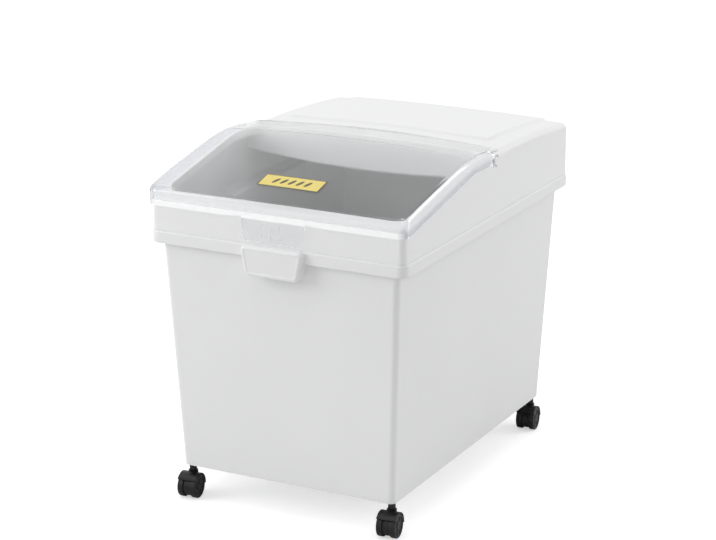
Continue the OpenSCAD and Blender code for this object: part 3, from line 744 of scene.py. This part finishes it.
def lid_crown(y):
    """How much higher the lid is at the middle than at the sides."""
    if y < PEAK_Y:
        return PEAK_CROWN * (1 - ((y - PEAK_Y) / (PEAK_Y - LID_FRONT)) ** 2)
    return PEAK_CROWN - 0.0015 * (y - PEAK_Y) / (DECK_Y - PEAK_Y)


lid = block("lid_moulding", (-LID_HALF, LID_FRONT, 0.3), (LID_HALF, LID_REAR, BLOCK_TOP))
ys = [-0.247, -0.227, -0.207, -0.187, -0.167, -0.147, -0.127, -0.107, -0.087, -0.0665, -0.0635,
      -0.05, -0.035, -0.015, 0.005, 0.020, 0.030]
xs = [-0.166, -0.14, -0.11, -0.08, -0.04, 0, 0.04, 0.08, 0.11, 0.14, 0.166]
slice_across(lid, 1, ys)
slice_across(lid, 0, xs)
bpy.ops.object.mode_set(mode="EDIT")
for y in [LID_FRONT] + ys + [LID_REAR]:
    pick(lid, verts=lambda p: abs(p.y - y) < NEAR and p.z < 0.35)
    skirt_foot = side_height(max(y, -COVER_END)) - SKIRT_DROP
    bpy.ops.transform.translate(value=(0, 0, skirt_foot - 0.3))
    for x in [-LID_HALF] + xs + [LID_HALF]:
        crown = lid_crown(y) * (1 - (x / LID_HALF) ** 2)
        set_top(lid, x, y, 0.48, lid_height(y) + crown)
pick(lid, edges=lambda a, b: upright(a, b) and abs(a.x) > 0.18 and a.y < -0.26)
bpy.ops.mesh.bevel(offset=LID_CORNER, segments=10, affect="EDGES")
round_shoulders(lid, LID_SHOULDER, 0.425, False)
pick(lid, faces=lambda c, n: n.z < -0.9 or n.y > 0.9)
bpy.ops.mesh.delete(type="FACE")
bpy.ops.object.mode_set(mode="OBJECT")
make_shell(lid, LID_WALL)

# Behind the hinge only a strip that fits in the trough is left, and an ear at each end.
STRIP_HALF, STRIP_FOOT, SWING_GAP = 0.1788, 0.4585, 0.001
behind = block("behind_hinge", (-STRIP_HALF, HINGE_Y, 0.38), (STRIP_HALF, 0.1, 0.55))
merge_in(behind, hinge_barrel("sweep", TROUGH_HALF, SWING_GAP), "DIFFERENCE")
merge_in(lid, behind, "DIFFERENCE")
for side in (-1, 1):
    a, b = sorted((side * STRIP_HALF, side * 0.3))
    merge_in(lid, block("over_wall", (a, TROUGH_FRONT, STRIP_FOOT), (b, 0.1, 0.55)), "DIFFERENCE")
    merge_in(lid, block("past_ear", (a, HINGE_Y, 0.38), (b, 0.1, 0.55)), "DIFFERENCE")

TAB_HALF, TAB_FOOT_HALF, TAB_FOOT, TAB_TOP, TAB_LEAN = 0.046, 0.041, 0.382, 0.4135, 0.004
tab = block("finger_tab", (-TAB_HALF, -0.2631, TAB_FOOT), (TAB_HALF, -0.2604, TAB_TOP))
bpy.ops.object.mode_set(mode="EDIT")
pick(tab, verts=lambda p: p.z < 0.39)
bpy.ops.transform.resize(value=(TAB_FOOT_HALF / TAB_HALF, 1, 1), center_override=(0, 0, 0))
pick(tab, edges=lambda a, b: a.z < 0.39 and b.z < 0.39 and abs(a.y - b.y) > 0.001)
bpy.ops.mesh.bevel(offset=0.007, segments=8, affect="EDGES")
points = bmesh.from_edit_mesh(tab.data).verts
for level in sorted({round(v.co.z, 5) for v in points if v.co.z < 0.41}):
    pick(tab, verts=lambda p: abs(p.z - level) < 1e-5)
    lean = TAB_LEAN * (TAB_TOP - level) / (TAB_TOP - TAB_FOOT)
    bpy.ops.transform.translate(value=(0, -lean, 0))
bpy.ops.object.mode_set(mode="OBJECT")
for x in (-0.012, 0, 0.012):
    rib_low, rib_high = (x - 0.0012, -0.2655, 0.389), (x + 0.0012, -0.2625, 0.406)
    grip_rib = block("grip_rib", rib_low, rib_high)
    bpy.ops.object.mode_set(mode="EDIT")
    pick(grip_rib, verts=lambda p: p.z < 0.39)
    bpy.ops.transform.translate(value=(0, -0.0022, 0))
    bpy.ops.object.mode_set(mode="OBJECT")
    merge_in(tab, grip_rib, "UNION")
merge_in(lid, tab, "UNION")
for side in (-1, 1):
    merge_in(lid, hinge_disc("ear", side, 0.181, LID_HALF, 0.0085), "UNION")
    merge_in(lid, hinge_disc("ear_bore", side, 0.17, 0.19, 0.00306), "DIFFERENCE")
    merge_in(lid, hinge_disc("head_sink", side, 0.1844, 0.19, 0.0052), "DIFFERENCE")
soften(lid)
set_back(lid)

# The lid's own values for its material: a painted shade, grey on faces that look sideways and on
# the right fading out upwards from the skirt's foot, and where a part is thin and stands close to
# the white cover.
painted_edge_shade = lid.data.attributes.new("painted_edge_shade", "FLOAT", "POINT")
thin_part = lid.data.attributes.new("thin_part", "FLOAT", "POINT")
for i, v in enumerate(lid.data.vertices):
    x, y, z = v.co
    over_skirt_foot = z - (side_height(max(y - SET_BACK, -COVER_END)) - SKIRT_DROP)
    outward = abs(v.normal.x)
    in_tab = z < 0.4095 or (abs(x) < 0.0465 and z < 0.4137 and y < -0.255
                            and over_skirt_foot > 0.002)
    in_ear = y > 0.001 and z < 0.4587 and abs(x) > 0.1808
    if in_tab or in_ear:
        thin_part.data[i].value = 1
    # Painted shade: grey on faces that look to the left, and on the right grey that fades out
    # upwards from the skirt's foot.
    elif x < 0:
        painted_edge_shade.data[i].value = min(1, max(0, outward - 0.05) / 0.55)
    else:
        painted_edge_shade.data[i].value = outward * max(0, min(1, 1 - over_skirt_foot / 0.016))

lid_clear = bpy.data.materials.new("lid_clear_polycarbonate")
lid_clear.use_nodes = True
nt = lid_clear.node_tree
link = nt.links.new
shader = nt.nodes["Principled BSDF"]


def own_value(nt, name, low, high):
    """Reads one of the lid's own values, 0 to 1, as a shader value from low to high."""
    layer = nt.nodes.new("ShaderNodeAttribute")
    layer.attribute_name = name
    ramp = nt.nodes.new("ShaderNodeMapRange")
    ramp.inputs["To Min"].default_value = low
    ramp.inputs["To Max"].default_value = high
    nt.links.new(layer.outputs["Fac"], ramp.inputs["Value"])
    return ramp.outputs["Result"]


def between(nt, value, start, stop):
    """Fades from 0 to 1 as a value goes from start to stop."""
    ramp = nt.nodes.new("ShaderNodeMapRange")
    ramp.inputs["From Min"].default_value = start
    ramp.inputs["From Max"].default_value = stop
    nt.links.new(value, ramp.inputs["Value"])
    return ramp.outputs["Result"]


def joined(nt, operation, a, b):
    """Makes one value of two."""
    node = nt.nodes.new("ShaderNodeMath")
    node.operation = operation
    nt.links.new(a, node.inputs[0])
    nt.links.new(b, node.inputs[1])
    return node.outputs[0]


place = nt.nodes.new("ShaderNodeTexCoord")
haze = nt.nodes.new("ShaderNodeTexNoise")
haze.inputs["Scale"].default_value = 14.0
haze.inputs["Detail"].default_value = 3.0
polish = nt.nodes.new("ShaderNodeMapRange")
polish.inputs["To Min"].default_value = 0.02
polish.inputs["To Max"].default_value = 0.08
link(place.outputs["Object"], haze.inputs["Vector"])
link(haze.outputs["Fac"], polish.inputs["Value"])
link(polish.outputs["Result"], shader.inputs["Roughness"])
# Painted shade: the lid's colour turns grey where its painted edge shade value is high.
tint = nt.nodes.new("ShaderNodeValToRGB")
tint.color_ramp.elements[0].color = (0.985, 0.988, 0.99, 1)
tint.color_ramp.elements[1].color = (0.62, 0.63, 0.67, 1)
link(own_value(nt, "painted_edge_shade", 0, 1), tint.inputs["Fac"])
link(tint.outputs["Color"], shader.inputs["Base Color"])
link(own_value(nt, "thin_part", 1.40, 1.15), shader.inputs["IOR"])

# Painted highlight: the lower front edge and the strip's sawn ends are made white and glow
# faintly.
split = nt.nodes.new("ShaderNodeSeparateXYZ")
link(place.outputs["Object"], split.inputs["Vector"])
across, along, up = split.outputs
off_middle = nt.nodes.new("ShaderNodeMath")
off_middle.operation = "ABSOLUTE"
link(across, off_middle.inputs[0])
front_edge = joined(nt, "MULTIPLY", between(nt, up, 0.4185, 0.4165),
                    between(nt, along, -0.2535, -0.2550))
front_edge = joined(nt, "MULTIPLY", front_edge, between(nt, up, 0.4096, 0.4099))
sawn_end = joined(nt, "MULTIPLY", between(nt, off_middle.outputs[0], 0.1776, 0.1782),
                  between(nt, up, 0.4583, 0.4587))
sawn_end = joined(nt, "MULTIPLY", sawn_end, between(nt, along, -0.0045, -0.0035))
painted_highlight = joined(nt, "MAXIMUM", front_edge, sawn_end)
# Painted highlight: there the lid lets through little light and glows a little.
see_through = nt.nodes.new("ShaderNodeMapRange")
see_through.inputs["To Min"].default_value = 1.0
see_through.inputs["To Max"].default_value = 0.15
painted_glow = nt.nodes.new("ShaderNodeMath")
painted_glow.operation = "MULTIPLY"
painted_glow.inputs[1].default_value = 0.10
link(painted_highlight, see_through.inputs["Value"])
link(see_through.outputs["Result"], shader.inputs["Transmission Weight"])
link(painted_highlight, painted_glow.inputs[0])
link(painted_glow.outputs[0], shader.inputs["Emission Strength"])

# Shadow and diffuse rays go straight through, so the clear sheet casts hardly any shade.
path = nt.nodes.new("ShaderNodeLightPath")
let_light = nt.nodes.new("ShaderNodeBsdfTransparent")
let_light.inputs["Color"].default_value = (0.95, 0.955, 0.96, 1)
pass_on = nt.nodes.new("ShaderNodeMixShader")
straight = joined(nt, "MAXIMUM", path.outputs["Is Shadow Ray"], path.outputs["Is Diffuse Ray"])
link(straight, pass_on.inputs[0])
link(shader.outputs[0], pass_on.inputs[1])
link(let_light.outputs[0], pass_on.inputs[2])
link(pass_on.outputs[0], nt.nodes["Material Output"].inputs["Surface"])
lid.data.materials.clear()
lid.data.materials.append(lid_clear)
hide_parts("flip_lid")
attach(lid, "lid")


# ---- Label -------------------------------------------------------------------
# A yellow gloss paper label with a thin dark edge, stuck on the lid's top near its
# front. In place of words it carries five printed grains of rice.

def lay_on_lid(piece, lift, thickness):
    """Presses a flat piece down on the lid's top and gives it its thickness."""
    take_up(piece)
    bpy.ops.object.transform_apply(location=True, rotation=True, scale=True)
    step = piece.modifiers.new("lie_on_lid", "SHRINKWRAP")
    step.wrap_method = "PROJECT"
    step.use_project_z = True
    step.use_negative_direction = True
    step.use_positive_direction = False
    step.target = lid
    step.offset = lift
    bpy.ops.object.modifier_apply(modifier=step.name)
    step = piece.modifiers.new("paper", "SOLIDIFY")
    step.thickness = thickness
    step.offset = 1
    bpy.ops.object.modifier_apply(modifier=step.name)


LABEL_WIDTH, LABEL_DEPTH, LABEL_Y, EDGE_LINE = 0.088, 0.028, -0.207, 0.0007
OVER_LID = 0.52
PAPER, INK = 0.00012, 0.00004
nothing_selected()
bpy.ops.mesh.primitive_grid_add(x_subdivisions=66, y_subdivisions=22, size=1,
                                location=(0, LABEL_Y, OVER_LID))
label = bpy.context.object
label.name = "lid_label"
bpy.ops.transform.resize(value=(LABEL_WIDTH, LABEL_DEPTH, 1))
lay_on_lid(label, 0.0001, PAPER)
grains = []
for i in range(5):
    nothing_selected()
    bpy.ops.mesh.primitive_circle_add(vertices=32, radius=0.0036, fill_type="TRIFAN",
                                      location=((i - 2) * 0.0115, LABEL_Y, OVER_LID))
    grain = bpy.context.object
    bpy.ops.transform.resize(value=(0.7, 1.9, 1))
    grain.rotation_euler = (0, 0, math.radians(-28))
    bpy.ops.object.transform_apply(location=True, rotation=True, scale=True)
    grains.append(grain)
nothing_selected()
for grain in grains:
    grain.select_set(True)
bpy.context.view_layer.objects.active = grains[0]
bpy.ops.object.join()
label_print = bpy.context.object
label_print.name = "label_print"
lay_on_lid(label_print, 0.00024, INK)


def printed_paper(name, colour):
    """Gloss paper with a faint fibre tone."""
    mat = bpy.data.materials.new(name)
    mat.use_nodes = True
    nt = mat.node_tree
    shader = nt.nodes["Principled BSDF"]
    place = nt.nodes.new("ShaderNodeTexCoord")
    fibre = nt.nodes.new("ShaderNodeTexNoise")
    fibre.inputs["Scale"].default_value = 120.0
    fibre.inputs["Detail"].default_value = 4.0
    tint = nt.nodes.new("ShaderNodeValToRGB")
    tint.color_ramp.elements[0].color = [c * 0.9 for c in colour] + [1]
    tint.color_ramp.elements[1].color = list(colour) + [1]
    nt.links.new(place.outputs["Object"], fibre.inputs["Vector"])
    nt.links.new(fibre.outputs["Fac"], tint.inputs["Fac"])
    nt.links.new(tint.outputs["Color"], shader.inputs["Base Color"])
    shader.inputs["Roughness"].default_value = 0.3
    return mat


label.data.materials.append(printed_paper("label_yellow_paper", (0.90, 0.74, 0.20)))
label.data.materials.append(printed_paper("label_dark_edge", (0.10, 0.08, 0.03)))
label_print.data.materials.append(label.data.materials[1])
for f in label.data.polygons:
    c = f.center
    from_side = LABEL_WIDTH / 2 - abs(c.x)
    from_end = LABEL_DEPTH / 2 - abs(c.y - LABEL_Y)
    f.material_index = 1 if min(from_side, from_end) < EDGE_LINE else 0
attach(label, "lid")
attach(label_print, "lid")


# ---- Floor, light and camera -------------------------------------------------
# A plain white studio: a floor that keeps the soft shadow, a large light overhead
# and two at the sides, and the camera at the photograph's angle.

nothing_selected()
bpy.ops.mesh.primitive_plane_add(size=14, location=(0, 0, 0))
floor = bpy.context.object
floor.name = "studio_floor"
paint = bpy.data.materials.new("floor_white")
paint.use_nodes = True
nt = paint.node_tree
shader = nt.nodes["Principled BSDF"]
shader.inputs["Base Color"].default_value = (0.85, 0.85, 0.85, 1)
shader.inputs["Roughness"].default_value = 0.8
shader.inputs["Specular IOR Level"].default_value = 0.1
path = nt.nodes.new("ShaderNodeLightPath")
glow = nt.nodes.new("ShaderNodeEmission")
glow.inputs["Strength"].default_value = 0.52
both = nt.nodes.new("ShaderNodeAddShader")
lifted = nt.nodes.new("ShaderNodeMixShader")
seen = joined(nt, "MAXIMUM", path.outputs["Is Camera Ray"], path.outputs["Is Transmission Ray"])
nt.links.new(shader.outputs[0], both.inputs[0])
nt.links.new(glow.outputs[0], both.inputs[1])
nt.links.new(seen, lifted.inputs[0])
nt.links.new(shader.outputs[0], lifted.inputs[1])
nt.links.new(both.outputs[0], lifted.inputs[2])
nt.links.new(lifted.outputs[0], nt.nodes["Material Output"].inputs["Surface"])
floor.data.materials.append(paint)

world = bpy.data.worlds.new("studio")
bpy.context.scene.world = world
world.use_nodes = True
nt = world.node_tree
room = nt.nodes["Background"]
room.inputs["Color"].default_value = (1, 1, 1, 1)
room.inputs["Strength"].default_value = 0.48
backdrop = nt.nodes.new("ShaderNodeBackground")
backdrop.inputs["Color"].default_value = (1, 1, 1, 1)
backdrop.inputs["Strength"].default_value = 1.0
path = nt.nodes.new("ShaderNodeLightPath")
seen = joined(nt, "MAXIMUM", path.outputs["Is Camera Ray"], path.outputs["Is Transmission Ray"])
seen = joined(nt, "MAXIMUM", seen, path.outputs["Is Glossy Ray"])
mix = nt.nodes.new("ShaderNodeMixShader")
nt.links.new(seen, mix.inputs[0])
nt.links.new(room.outputs[0], mix.inputs[1])
nt.links.new(backdrop.outputs[0], mix.inputs[2])
nt.links.new(mix.outputs[0], nt.nodes["World Output"].inputs["Surface"])


def softbox(name, place, aim, size, power):
    """A square studio light, aimed at a point."""
    lamp = bpy.data.lights.new(name, "AREA")
    lamp.shape = "SQUARE"
    lamp.size = size
    lamp.energy = power
    obj = bpy.data.objects.new(name, lamp)
    obj.location = place
    obj.rotation_euler = (Vector(aim) - Vector(place)).to_track_quat("-Z", "Y").to_euler()
    bpy.context.scene.collection.objects.link(obj)


softbox("overhead_softbox", (-0.2, -0.2, 3.2), (0, 0, 0.4), 2.4, 26)
softbox("left_softbox", (-2.4, -2.0, 1.5), (0, 0, 0.25), 1.8, 38)
softbox("rear_right_softbox", (2.4, 2.1, 1.5), (0, 0, 0.25), 1.8, 31)

SENSOR = 36
FOCAL_PIXELS, PHOTO_PIXELS = 2399, 716
camera = bpy.data.objects.new("photo_camera", bpy.data.cameras.new("photo_camera"))
bpy.context.scene.collection.objects.link(camera)
camera.location = (1.4290, -2.7865, 1.2285)
aim = Vector((-0.00905, -0.00749, 0.27808)) - camera.location
camera.rotation_euler = aim.to_track_quat("-Z", "Y").to_euler()
camera.data.sensor_width = SENSOR
camera.data.lens = SENSOR * FOCAL_PIXELS / PHOTO_PIXELS
bpy.context.scene.camera = camera
bpy.context.scene.view_settings.view_transform = "Standard"
